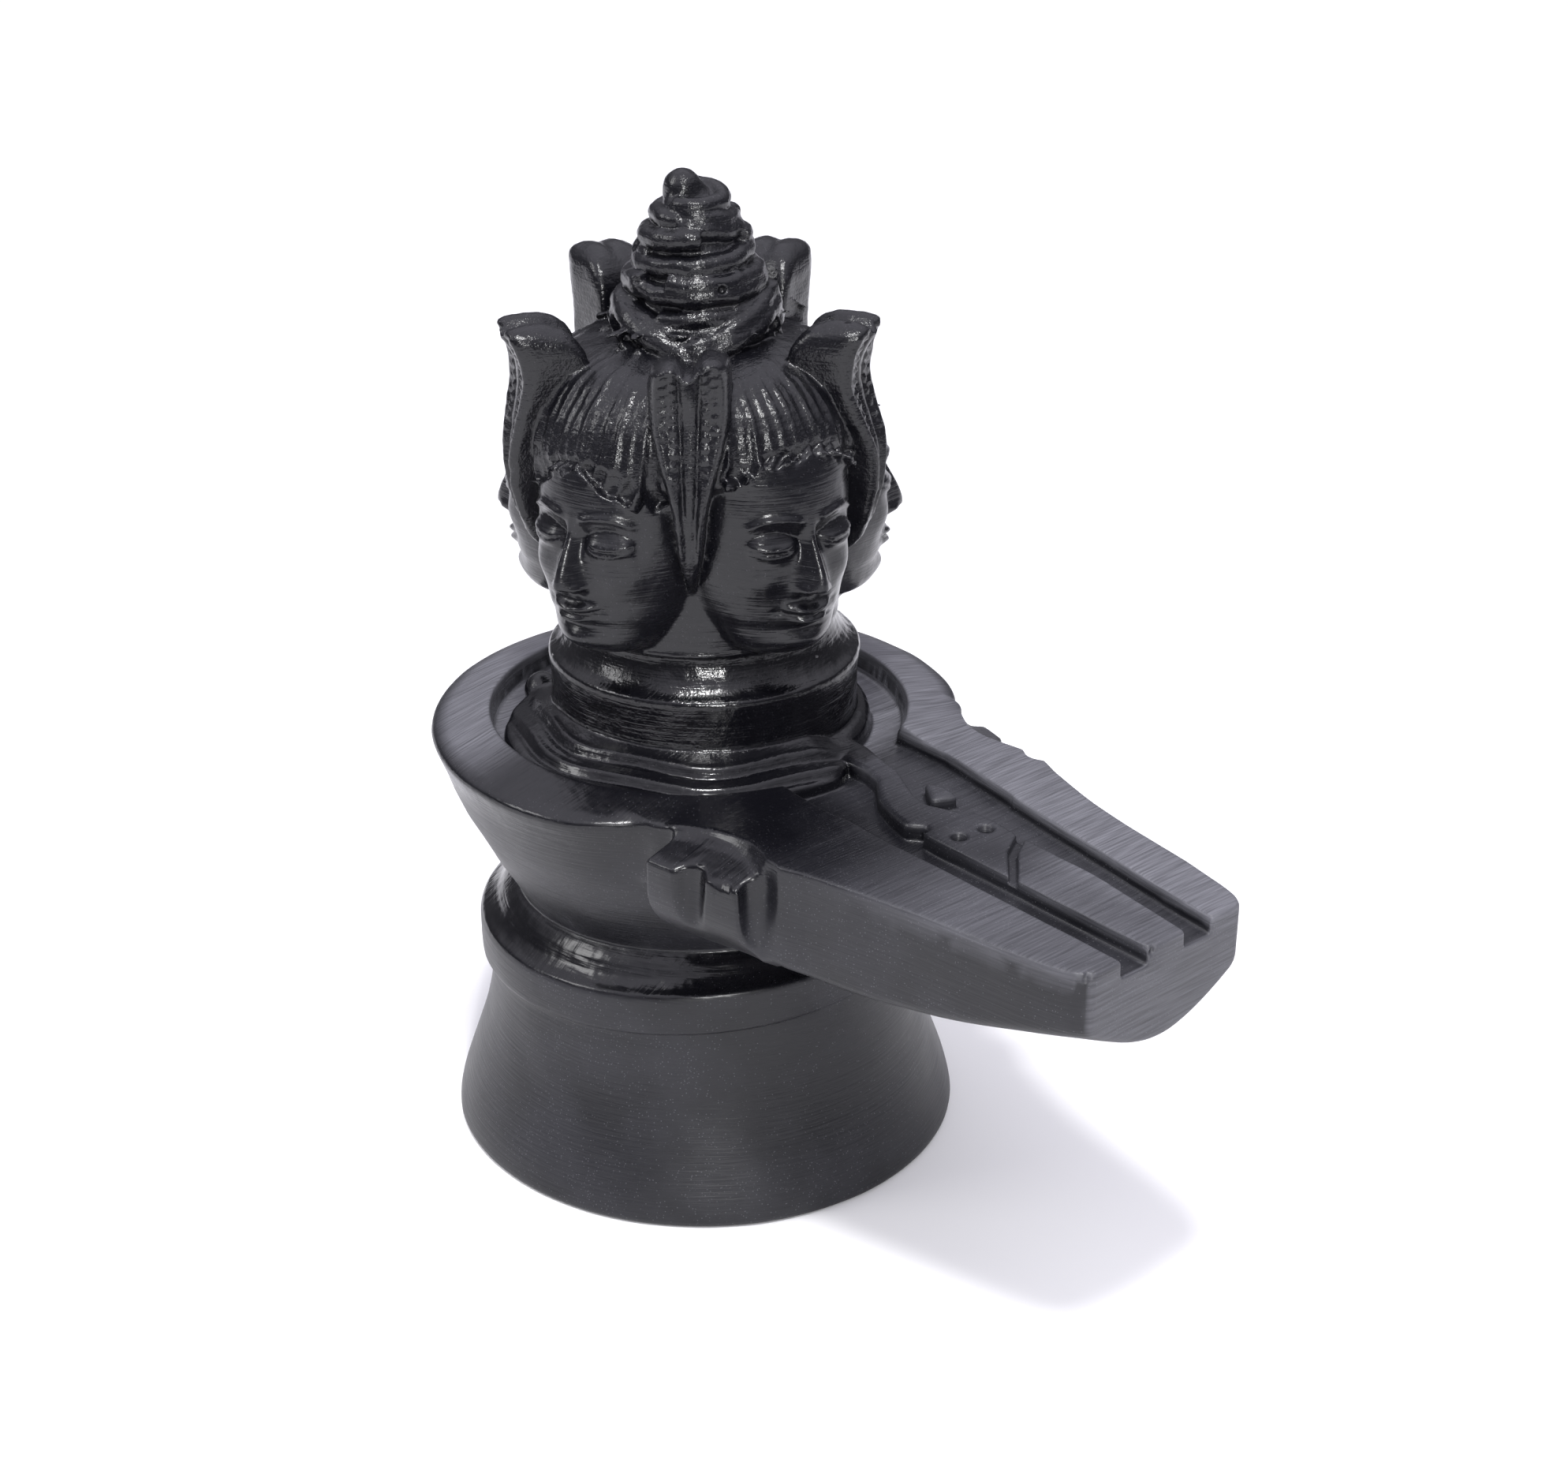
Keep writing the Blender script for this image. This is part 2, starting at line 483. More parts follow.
def hoodRelief(across, half, z):
    # a raised border all round, a smooth spine between two grooves, and rows of beads beside it
    side = np.abs(across)
    fromEdge = np.minimum(half - side, hood["top"] + 0.1 - z)
    relief = hood["border"] * bump(fromEdge, 0.5 + 0.05 * half, 0.42 + 0.02 * half)
    relief = relief - hood["groove"] * bump(side, 0.32 + 0.12 * (z - 66) / 4, 0.24) * smoothStep(68, 71, z)
    for row, place in enumerate(hood["beadRows"]):
        phase = z / hood["beadSpacing"] + 0.5 * row + 0.25 * np.sign(across)
        beads = 0.5 + 0.5 * np.cos(2 * math.pi * phase)
        relief = relief + hood["beads"] * beads * bump(side, place, 0.34) * smoothStep(0.8, 1.2, fromEdge)
    return relief * smoothStep(66.5, 69, z) * smoothStep(91, 90.4, z)


def hoodPlace(x, y, z, angle, top, lean, skew, notch):
    # a point as seen by one hood: how far out, how far across, how high, and how wide the hood is there
    turn = angle * degree
    out = x * math.cos(turn) + y * math.sin(turn)
    across = y * math.cos(turn) - x * math.sin(turn)
    z = z - skew * across * smoothStep(82, 90, z)
    stretch = (top - hood["stretchFrom"]) / (hood["top"] - hood["stretchFrom"])
    z = np.where(z > hood["stretchFrom"], hood["stretchFrom"] + (z - hood["stretchFrom"]) / stretch, z)
    out = out - lean * smoothStep(77, 85, z) + hood["roundness"] * across ** 2
    return out, across, z, along(hood["halfWidth"], z).astype(np.float32)


def hoodField(x, y, z, *each):
    out, across, z, half = hoodPlace(x, y, z, *each)
    dip = each[4] * bump(across, 0, 0.9) * smoothStep(86, 90, z) * smoothStep(11, 15, out)
    body = hoodProfile(out - hoodRelief(across, half, z + dip) * smoothStep(14, 16, out), z + dip)
    return softMax(body, 0.95 * (np.abs(across) - half), 0.5 + 1.2 * smoothStep(84, 90, z))


def trenchField(x, y, z, *each):
    # what is cut away beside a hood so that its edge stands free of the hair
    out, across, z, half = hoodPlace(x, y, z, *each)
    face = along([(height, reach) for reach, height in hood["face"]], z).astype(np.float32)
    depth = hood["trenchDepth"] * smoothStep(hood["trenchLow"], 73, z)
    cut = softMax(0.95 * (np.abs(across) - half - hood["trench"]), face - depth - out, 0.5)
    return softMax(cut, hood["trenchLow"] - z, 2)


def hoodsField(x, y, z):
    return np.minimum.reduce([hoodField(x, y, z, *each) for each in hood["each"]])


def trenchesField(x, y, z):
    return np.minimum.reduce([trenchField(x, y, z, *each) for each in hood["each"]])


# Topknot: its core, round which the hair is wound, and the rounded end tucked in on top
topknot = {"bottom": 86, "top": 103.2, "knob": (-0.8, -0.8, 102.2, 2.0), "coreInset": 0.85,
           "outline": [(86, 7.4), (88, 7.2), (90, 7.0), (92.4, 6.7), (94, 6.4), (95.6, 5.8), (97.4, 5.2),
                       (99, 4.5), (100.6, 3.4), (102.2, 2.2), (103.2, 0.8)]}


def topknotMesh():
    z = np.linspace(topknot["bottom"], topknot["top"], 120)[:, None]
    turn = np.linspace(0, 2 * math.pi, 120, endpoint=False)[None, :]
    return closedLoft(ringPoints(along(topknot["outline"], z) - topknot["coreInset"], turn, z))


def knobField(x, y, z):
    return ballsField(x, y, z, [topknot["knob"]])


# Pits: small dark holes in the topknot and the front hood, as [angle, distance from the axis, height]
pits = {"each": [(-74.6, 5.3, 100.5), (-92.7, 7.3, 94.3), (-74.7, 6.9, 95.1), (-18, 6.9, 94), (-1, 5.4, 99),
                 (-41.1, 19.2, 87.8), (-35.9, 19.2, 87.1)], "radius": 0.42}


def pitsField(x, y, z):
    return ballsField(x, y, z, [(reach * math.cos(angle * degree), reach * math.sin(angle * degree), height,
                                 pits["radius"]) for angle, reach, height in pits["each"]])


# Strands: each guide line is wobbled, given a thickness and made solid

def addObject(name, data):
    thing = bpy.data.objects.new(name, data)
    bpy.context.scene.collection.objects.link(thing)
    return thing


def addNode(tree, kind, links=(), **settings):
    # links join an input, by name or number, to an output, to a node's first output or to a plain value
    node = tree.nodes.new(kind)
    for name, value in settings.items():
        setattr(node, name, value)
    for key, source in dict(links).items():
        socket = node.inputs[key]
        if isinstance(source, bpy.types.Node):
            source = source.outputs[0]
        if isinstance(source, bpy.types.NodeSocket):
            tree.links.new(source, socket)
        else:
            socket.default_value = source
    return node


def strandTree():
    tree = bpy.data.node_groups.new("strands along guides", "GeometryNodeTree")
    face = tree.interface
    face.new_socket("Guides", in_out="INPUT", socket_type="NodeSocketGeometry")
    for name, kind in (("Thickness", "Float"), ("Unevenness", "Float"), ("Wobble", "Float"),
                       ("Wobble size", "Float"), ("Start", "Float"), ("Start length", "Float"),
                       ("End", "Float"), ("Seed", "Int"), ("Material", "Material")):
        face.new_socket(name, in_out="INPUT", socket_type="NodeSocket" + kind)
    face.new_socket("Strands", in_out="OUTPUT", socket_type="NodeSocketGeometry")
    given = addNode(tree, "NodeGroupInput").outputs
    curves = addNode(tree, "GeometryNodeMeshToCurve", {"Mesh": given["Guides"]})
    place = addNode(tree, "GeometryNodeInputPosition")
    noise = addNode(tree, "ShaderNodeTexNoise", {"Vector": place, "W": given["Seed"], "Detail": 1.0,
                                                 "Scale": given["Wobble size"]}, noise_dimensions="4D")
    centred = addNode(tree, "ShaderNodeVectorMath", {0: noise.outputs["Color"], 1: (0.5, 0.5, 0.5)},
                      operation="SUBTRACT")
    push = addNode(tree, "ShaderNodeVectorMath", {0: centred, "Scale": given["Wobble"]}, operation="SCALE")
    curves = addNode(tree, "GeometryNodeSetPosition", {"Geometry": curves, "Offset": push})
    share = addNode(tree, "GeometryNodeSplineParameter").outputs["Factor"]
    rise = addNode(tree, "ShaderNodeMapRange", {"Value": share, "From Max": given["Start length"],
                                                "To Min": given["Start"]})
    fall = addNode(tree, "ShaderNodeMapRange", {"Value": share, "From Min": 0.85, "To Min": 1.0,
                                                "To Max": given["End"]}, interpolation_type="SMOOTHSTEP")
    taper = addNode(tree, "ShaderNodeMath", {0: rise, 1: fall}, operation="MULTIPLY")
    each = addNode(tree, "FunctionNodeRandomValue", {"Seed": given["Seed"]}, data_type="FLOAT")
    each.inputs[2].default_value, each.inputs[3].default_value = -1, 1
    onCurve = addNode(tree, "GeometryNodeFieldOnDomain", {0: each.outputs[1]}, domain="CURVE")
    uneven = addNode(tree, "ShaderNodeMath", {0: onCurve, 1: given["Unevenness"], 2: 1.0},
                     operation="MULTIPLY_ADD")
    thickness = addNode(tree, "ShaderNodeMath", {0: taper, 1: given["Thickness"]}, operation="MULTIPLY")
    radius = addNode(tree, "ShaderNodeMath", {0: thickness, 1: uneven}, operation="MULTIPLY")
    curves = addNode(tree, "GeometryNodeSetCurveRadius", {"Curve": curves, "Radius": radius})
    ring = addNode(tree, "GeometryNodeCurvePrimitiveCircle", {"Resolution": 10, "Radius": 1.0})
    tubes = addNode(tree, "GeometryNodeCurveToMesh",
                    {"Curve": curves, "Profile Curve": ring, "Fill Caps": True})
    whole = addNode(tree, "GeometryNodeRealizeInstances", {"Geometry": tubes})
    whole = addNode(tree, "GeometryNodeSetMaterial", {"Geometry": whole, "Material": given["Material"]})
    addNode(tree, "NodeGroupOutput", {0: whole})
    return tree


def strandMesh(tree, name, guides, settings, material):
    # runs the strand tree on guide lines and gives back corners and faces in mm
    mesh = bpy.data.meshes.new(name)
    points, edges = [], []
    for guide in guides:
        edges += [(len(points) + i, len(points) + i + 1) for i in range(len(guide) - 1)]
        points += guide.tolist()
    mesh.from_pydata(points, edges, [])
    maker = addObject(name, mesh)
    modifier = maker.modifiers.new("strands", "NODES")
    modifier.node_group = tree
    for item in tree.interface.items_tree:
        if item.in_out == "INPUT" and item.name in settings:
            modifier[item.identifier] = settings[item.name]
        if item.in_out == "INPUT" and item.name == "Material":
            modifier[item.identifier] = material
    result = bpy.data.meshes.new_from_object(maker.evaluated_get(bpy.context.evaluated_depsgraph_get()))
    bpy.data.objects.remove(maker)
    result.calc_loop_triangles()
    corners = np.zeros(len(result.vertices) * 3, np.float32)
    result.vertices.foreach_get("co", corners)
    triangles = np.zeros(len(result.loop_triangles) * 3, np.int32)
    result.loop_triangles.foreach_get("vertices", triangles)
    print("strands:", name, len(triangles) // 3, "triangles")
    return corners.reshape(-1, 3), np.zeros((0, 4), int), triangles.reshape(-1, 3)


hair = {"locks": 20, "strandsInLock": 4, "crown": 20.3, "lift": 0.05, "lockLift": 0.2, "lockEnd": 0.7,
        "endBelow": 0.1, "endAtHood": 9, "shortOfHood": 0.5, "curl": 4, "split": 0.5,
        "firstCut": (0.02, 0.08, 0.16),
        "Thickness": 0.6, "Unevenness": 0.2, "Wobble": 0.4, "Wobble size": 0.3, "Start": 0.4,
        "Start length": 0.7, "End": 0.55, "Seed": 4}
combed = {"lift": (-0.1, 0.12), "slot": 0.42, "Thickness": 0.36, "Unevenness": 0.3, "Wobble": 0.4,
          "Wobble size": 0.3, "Start": 0.6, "Start length": 0.5, "End": 0.6, "Seed": 4}
winding = {"low": 89.0, "high": 101.6, "wraps": 15, "slope": 1.5, "front": -42, "sunk": 0.42,
           "bands": [(87.0, 91.4, 8.3, 0.0), (87.6, 92.0, 8.0, 0.35), (88.5, 91.8, 7.3, 0.0)],
           "behind": [(89.5, 7.7), (90.6, 7.4)],
           "tucks": [(30, 87.6, 92.2, 7.2), (43, 87, 93.2, 7.7), (56, 87, 92, 7.5), (222, 87.4, 91.6, 7.3),
                     (236, 87, 92.2, 7.6)],
           "Thickness": 0.6, "Unevenness": 0.3, "Wobble": 0.7, "Wobble size": 0.5, "Start": 0.1,
           "Start length": 0.22, "End": 0.1, "Seed": 9}

def hairGuides():
    # locks combed from the crown down past the hairline, and the grooves between and in their strands
    chance = np.random.default_rng(hair["Seed"])
    down = np.linspace(hair["crown"], 7, 400)
    lockWidth = 360 / hair["locks"]
    strands, grooves = [], []

    def addLine(collection, line, lift, first=0.0):
        radius = np.hypot(line[:, 0], line[:, 1])
        line = line * [1, 1, 1]
        line[:, :2] *= (1 + lift * smoothStep(7, 9, radius) / radius)[:, None]
        collection.append(line[int(first * len(line))::5])

    for lock in range(hair["locks"]):
        lift = hair["lift"] + hair["lockLift"] * chance.uniform(-1, 1)
        end = hair["lockEnd"] * chance.uniform(-1, 0.6) - hair["endBelow"]
        curl = hair["curl"] * chance.choice([-1, 1])
        for place in np.arange(2 * hair["strandsInLock"]) / 2:
            share = place / hair["strandsInLock"] - 0.5
            turn = (lock + 0.5 + share + chance.uniform(-0.04, 0.04)) * lockWidth
            line, hairline = headSurface(down[:, None], np.array([[turn]]), 0)
            height = line[:, 0, 2]
            bend = turn + curl * smoothStep(hairline[:, 0] + 3, hairline[:, 0] - 1, height) ** 2
            line = headSurface(down[:, None], bend[:, None], 0)[0][:, 0]
            fromFace = abs(faceAt(turn)[1])
            low = hairline[:, 0] + end + 0.6 * abs(share) + hair["endAtHood"] * smoothStep(24, 27, fromFace)
            line = line[height > low + chance.uniform(-0.3, 0.3)]
            radius = np.hypot(line[:, 0], line[:, 1])
            low, high = combed["lift"]
            cutLift = low + (high - low) * smoothStep(9, 18, radius) - 0.12 * (share == -0.5)
            if place == int(place):
                first = chance.choice(hair["firstCut"])
                addLine(grooves, line, cutLift, first)
                addLine(grooves, line, cutLift + combed["slot"], first)
            else:
                addLine(strands, line, lift)
                if chance.uniform() < hair["split"]:
                    addLine(grooves, line, cutLift + combed["slot"], chance.uniform(0.5, 0.75))
    return strands, grooves


def windingGuides():
    # wraps that each go a part of the way round at a slant, bands that meet in a V at the front of the
    # base, and short ends tucked in upright beside it
    chance = np.random.default_rng(winding["Seed"])
    share = np.linspace(-0.5, 0.5, 120)
    guides = []
    for wrap in range(winding["wraps"]):
        middle = winding["low"] + (winding["high"] - winding["low"]) * wrap / (winding["wraps"] - 1)
        angle = winding["front"] + 137.5 * wrap + chance.uniform(-30, 30)
        turn = (angle + chance.uniform(150, 300) * share) * degree
        slope = winding["slope"] * chance.uniform(-1, 1)
        lift = chance.uniform(-0.3, 0.3)
        z = middle + 2 * slope * share - 0.3 * np.cos(turn - winding["front"] * degree)
        radius = along(topknot["outline"], z) - winding["sunk"] + lift + chance.uniform(-0.12, 0.12)
        guides.append(ringPoints(radius, turn, z))
    for low, high, radius, shift in winding["bands"]:
        away = np.linspace(-10, 100, 100)
        for side in (-1, 1):
            z = low + (high - low) * smoothStep(-30, 100, away) + shift * side
            reach = radius - 0.25 * side * shift - 0.9 * (z - low) / (high - low)
            guides.append(ringPoints(reach, (winding["front"] + side * away) * degree, z))
    for z, radius in winding["behind"]:
        guides.append(ringPoints(radius, (winding["front"] + np.linspace(75, 285, 100)) * degree, z))
    for angle, low, high, radius in winding["tucks"]:
        z = np.linspace(low, high, 30)
        turn = (angle + 4 * np.sin((z - low) / 2)) * degree
        guides.append(ringPoints(radius - 0.08 * (z - low), turn, z))
    return guides


# Turning meshes and fields into one stone

def gridOf(low, high):
    # whole voxel numbers that cover a box given in mm
    voxel = carving["voxel"]
    return [np.arange(math.floor(a / voxel), math.ceil(b / voxel) + 1) for a, b in zip(low, high)]


def fieldArray(field, grid):
    # works the field out slab by slab along z, on all cores
    voxel = carving["voxel"]
    x = (grid[0] * voxel).astype(np.float32)[:, None, None]
    y = (grid[1] * voxel).astype(np.float32)[None, :, None]
    slabs = [grid[2][k:k + carving["slab"]] for k in range(0, len(grid[2]), carving["slab"])]
    with ThreadPoolExecutor(4) as pool:
        parts = pool.map(lambda slab: field(x, y, (slab * voxel).astype(np.float32)[None, None, :]), slabs)
        return np.concatenate([part.astype(np.float32) for part in parts], 2)


def meshArray(pieces, grid):
    # distances to closed meshes that may pass through each other
    points, quads, triangles = [], [], []
    count = 0
    for corners, fours, threes in pieces:
        points.append(corners)
        quads.append(fours + count)
        triangles.append(threes + count)
        count += len(corners)
    transform = openvdb.createLinearTransform(voxelSize=carving["voxel"])
    level = openvdb.FloatGrid.createLevelSetFromPolygons(
        np.concatenate(points).astype(np.float32), triangles=np.concatenate(triangles).astype(np.uint32),
        quads=np.concatenate(quads).astype(np.uint32), transform=transform, halfWidth=4.0)
    result = np.zeros([len(axis) for axis in grid], np.float32)
    level.copyToArray(result, ijk=[int(axis[0]) for axis in grid])
    return result


def surfaceOf(arrays):
    # one skin over all the arrays, which join at shared voxel layers
    whole = openvdb.FloatGrid(1.0)
    for values, grid in arrays:
        whole.copyFromArray(np.clip(values, -1, 1), ijk=[int(axis[0]) for axis in grid])
    points, _, quads = whole.convertToPolygons(isovalue=0.0, adaptivity=0.0)
    return points * carving["voxel"], np.array(quads)


def withoutCrumbs(points, quads):
    # keeps the largest connected part only, because a cut can leave a crumb of stone in the air
    label = np.arange(len(points))
    edges = np.concatenate([quads[:, [0, 1]], quads[:, [1, 2]], quads[:, [2, 3]]])
    changed = True
    while changed:
        before = label.copy()
        low = np.minimum(label[edges[:, 0]], label[edges[:, 1]])
        for end in (0, 1):
            np.minimum.at(label, before[edges[:, end]], low)
            np.minimum.at(label, edges[:, end], low)
        label = label[label]
        changed = bool((label != before).any())
    kept = label == np.bincount(label).argmax()
    place = np.cumsum(kept) - 1
    print("crumbs left out:", int((~kept).sum()), "corners")
    return points[kept], place[quads[kept[quads[:, 0]]]]


# Surface: small unevenness of hand carving, and how shiny and how rough each place is left
surface = {"wide": (4.0, 0.06), "tool": (1.4, 0.06), "pecked": (0.6, 0.03)}


def cylinderOf(points):
    # each point's x, y and z, its distance from the axis and its turn in degrees
    x, y, z = points.T
    return x, y, z, np.hypot(x, y), np.degrees(np.arctan2(y, x))


def hairlineAbove(points):
    # how far a point stands above the hairline of the face below it
    z, radius, angle = cylinderOf(points)[2:]
    which, local = faceAt(angle)
    across = radius * np.sin(local * degree)
    return z - np.array(head["hairlines"])[which] + head["hairArch"] * across ** 2


def gritOf(points):
    # 1 on the pecked hair, hoods and topknot, less on the neck and the coil, almost none elsewhere
    z, radius, angle = cylinderOf(points)[2:]
    nearHood = sum(bump((angle - each[0] + 180) % 360 - 180, 0, 7) for each in hood["each"])
    hairy = smoothStep(-0.6, 0.2, hairlineAbove(points)) + nearHood * smoothStep(66, 70, z)
    upper = 0.22 + 0.78 * np.clip(hairy, 0, 1)
    neckBand = 0.55 * smoothStep(20, 17, radius) * smoothStep(45.3, 47, z)
    return np.where(z > 59.5, upper, np.maximum(neckBand, 0.06))


def shineOf(points):
    # 1 where the stone is polished wet, 0 where it is left satin from the sanding cloth
    x, y, z, radius, angle = cylinderOf(points)
    upper = smoothStep(22.5, 21.5, radius) * smoothStep(44.5, 45.5, z) * (1 - 0.3 * smoothStep(58, 60, z))
    turn = collar["lowSide"] * degree
    tilted = z + (x * math.cos(turn) + y * math.sin(turn)) * math.sin(collar["tilt"] * degree)
    slope = smoothStep(25.4, 26, tilted) * smoothStep(29.5, 28.6, tilted) * smoothStep(26, 24, radius)
    nearRim = smoothStep(-128, -105, angle) * smoothStep(5, -10, angle) * smoothStep(46, 25, x)
    nearRim = 0.75 * nearRim * smoothStep(40, 45.5, z) * (z < 50)
    return np.clip(np.maximum(upper + slope, nearRim), 0, 1)


def dryOf(points):
    # 1 on the flat tops that were sanded last and hold no oil, which look lighter; the snake's strip, the
    # near side and the floor of the channels stay oiled
    x, y, z, radius, angle = cylinderOf(points)
    away = np.maximum(smoothStep(-6, 8, y), smoothStep(-88, -112, angle) * (x < 5))
    strip = smoothStep(-2.9, -2.1, y) * smoothStep(7, 5.5, y) * smoothStep(17, 21, x) * smoothStep(52, 44, x)
    flat = smoothStep(46.2, 46.9, z) * smoothStep(49, 48.4, z) * smoothStep(21.4, 22.2, radius)
    flat = flat * (1 - 0.75 * strip) * np.maximum(away, 0.5 * smoothStep(34, 52, x))
    end = 0.5 * smoothStep(65, 65.4, x)
    basin = (1 - smoothStep(45.4, 45.8, z)) * smoothStep(44.6, 44.9, z) * smoothStep(18, 18.5, radius)
    basin = basin * away * (1 - 0.8 * smoothStep(14, 20, x))
    return np.clip(np.maximum.reduce([flat, end, basin]), 0, 1)


def carveByHand(points, normals):
    # pushes each corner in or out a little
    grit = gritOf(points)
    wide, tool, pecked = (surface[name] for name in ("wide", "tool", "pecked"))
    push = wide[1] * latticeNoise(points, wide[0], 11)
    push = push + grit * tool[1] * latticeNoise(points, tool[0], 12)
    push = push + grit * pecked[1] * latticeNoise(points, pecked[0], 13)
    push = push * smoothStep(0, 0.6, points[:, 2])
    return points + normals * push[:, None]


def addAttribute(mesh, name, values):
    layer = mesh.attributes.new(name, "FLOAT", "POINT")
    layer.data.foreach_set("value", values.astype(np.float32))


# Materials

def linearColour(code):
    parts = [int(code[k:k + 2], 16) / 255 for k in (1, 3, 5)]
    return [c / 12.92 if c <= 0.04045 else ((c + 0.055) / 1.055) ** 2.4 for c in parts] + [1]


stoneLook = {"satin": "#0f0f14", "rubbed": "#1f1f24", "polished": "#0a0a0e", "dry": "#84848b",
             "dust": "#77777d", "satinRoughness": 0.42, "dryRoughness": 0.14, "polishedRoughness": 0.16,
             "ior": 1.46, "scratchLength": 6.0, "scratchWidth": 0.28, "scratchDepth": 0.045,
             "hatchTurn": 62, "peck": 0.32, "peckDepth": 0.06, "toolMark": 1.7, "toolDepth": 0.1,
             "cloud": 9, "fleck": 0.28}


def blackStone():
    # Black soapstone, carved, sanded and oiled: the turned parts keep fine sanding lines and a satin
    # sheen, and the pecked hair and the neck are polished wet, so each small pit and bump glints.
    material = bpy.data.materials.new("oiled black soapstone")
    material.use_nodes = True
    tree = material.node_tree
    shader = tree.nodes["Principled BSDF"]
    place = addNode(tree, "ShaderNodeTexCoord").outputs["Object"]
    grit = addNode(tree, "ShaderNodeAttribute", attribute_name="grit").outputs["Fac"]
    shine = addNode(tree, "ShaderNodeAttribute", attribute_name="shine").outputs["Fac"]
    dry = addNode(tree, "ShaderNodeAttribute", attribute_name="dry").outputs["Fac"]
    normal = addNode(tree, "ShaderNodeNewGeometry").outputs["Normal"]
    upright = addNode(tree, "ShaderNodeSeparateXYZ", {0: normal}).outputs["Z"]
    flat = addNode(tree, "ShaderNodeMapRange", {"Value": upright, "From Min": 0.6, "From Max": 0.9})
    perMm = 1 / metresPerMm
    long, thin = perMm / stoneLook["scratchLength"], perMm / stoneLook["scratchWidth"]
    level = addNode(tree, "ShaderNodeMapping", {"Vector": place, "Scale": (long, long, thin)})
    levelLines = addNode(tree, "ShaderNodeTexNoise", {"Vector": level, "Scale": 1.0, "Detail": 3.0})
    slant = addNode(tree, "ShaderNodeMapping", {"Vector": place, "Scale": (thin, long, long),
                                                "Rotation": (0, 0, stoneLook["hatchTurn"] * degree)},
                    vector_type="POINT")
    slantLines = addNode(tree, "ShaderNodeTexNoise", {"Vector": slant, "Scale": 1.0, "Detail": 3.0})
    lines = addNode(tree, "ShaderNodeMix", {0: flat, 2: levelLines,
                                            3: slantLines})
    pecks = addNode(tree, "ShaderNodeTexNoise", {"Vector": place, "Scale": perMm / stoneLook["peck"],
                                                 "Detail": 2.0, "Roughness": 0.6})
    toolMarks = addNode(tree, "ShaderNodeTexNoise", {"Vector": place, "Scale": perMm / stoneLook["toolMark"],
                                                     "Detail": 1.0})
    cloud = addNode(tree, "ShaderNodeTexNoise", {"Vector": place, "Scale": perMm / stoneLook["cloud"],
                                                 "Detail": 4.0})
    lineHeight = addNode(tree, "ShaderNodeMath", {0: lines, 1: stoneLook["scratchDepth"]},
                         operation="MULTIPLY")
    peckGrit = addNode(tree, "ShaderNodeMath", {0: grit, 1: stoneLook["peckDepth"]}, operation="MULTIPLY")
    height = addNode(tree, "ShaderNodeMath", {0: pecks, 1: peckGrit,
                                              2: lineHeight}, operation="MULTIPLY_ADD")
    toolShine = addNode(tree, "ShaderNodeMath", {0: shine, 1: stoneLook["toolDepth"]}, operation="MULTIPLY")
    height = addNode(tree, "ShaderNodeMath", {0: toolMarks, 1: toolShine,
                                              2: height}, operation="MULTIPLY_ADD")
    relief = addNode(tree, "ShaderNodeBump", {"Height": height, "Distance": metresPerMm,
                                              "Strength": 1.0})
    finish = addNode(tree, "ShaderNodeMapRange", {"Value": shine, "To Min": stoneLook["satinRoughness"],
                                                  "To Max": stoneLook["polishedRoughness"]})
    rubbed = addNode(tree, "ShaderNodeMath", {0: cloud, 1: 0.22, 2: finish},
                     operation="MULTIPLY_ADD")
    roughness = addNode(tree, "ShaderNodeMath", {0: lines, 1: 0.12, 2: rubbed},
                        operation="MULTIPLY_ADD")
    roughness = addNode(tree, "ShaderNodeMath", {0: roughness, 1: 0.17}, operation="SUBTRACT")
    roughness = addNode(tree, "ShaderNodeMath", {0: dry, 1: stoneLook["dryRoughness"], 2: roughness},
                        operation="MULTIPLY_ADD")
    worn = addNode(tree, "ShaderNodeMapRange", {"Value": cloud, "From Min": 0.42, "From Max": 0.68})
    colour = addNode(tree, "ShaderNodeMix", {0: worn, 6: linearColour(stoneLook["satin"]),
                                             7: linearColour(stoneLook["rubbed"])}, data_type="RGBA")
    colour = addNode(tree, "ShaderNodeMix", {0: shine, 6: colour.outputs[2],
                                             7: linearColour(stoneLook["polished"])}, data_type="RGBA")
    brushed = addNode(tree, "ShaderNodeMath", {0: lines, 1: dry}, operation="MULTIPLY")
    colour = addNode(tree, "ShaderNodeMix", {0: brushed, 6: colour.outputs[2],
                                             7: linearColour(stoneLook["dry"])}, data_type="RGBA")
    cells = addNode(tree, "ShaderNodeTexVoronoi", {"Vector": place, "Scale": perMm / stoneLook["fleck"]})
    speck = addNode(tree, "ShaderNodeMapRange", {"Value": cells.outputs["Distance"], "From Min": 0.28,
                                                 "From Max": 0.16})
    chance = addNode(tree, "ShaderNodeSeparateColor", {0: cells.outputs["Color"]})
    patch = addNode(tree, "ShaderNodeMath", {0: cloud, 1: 1.6, 2: chance}, operation="MULTIPLY_ADD")
    kept = addNode(tree, "ShaderNodeMapRange", {"Value": patch, "From Min": 1.4, "From Max": 1.6})
    dusty = addNode(tree, "ShaderNodeMath", {0: speck, 1: kept}, operation="MULTIPLY")
    matt = addNode(tree, "ShaderNodeMapRange", {"Value": shine, "To Min": 0.26, "To Max": 0.08})
    dusty = addNode(tree, "ShaderNodeMath", {0: dusty, 1: matt}, operation="MULTIPLY")
    colour = addNode(tree, "ShaderNodeMix", {0: dusty, 6: colour.outputs[2],
                                             7: linearColour(stoneLook["dust"])}, data_type="RGBA")
    shader.inputs["IOR"].default_value = stoneLook["ior"]
    tree.links.new(colour.outputs[2], shader.inputs["Base Color"])
    tree.links.new(roughness.outputs[0], shader.inputs["Roughness"])
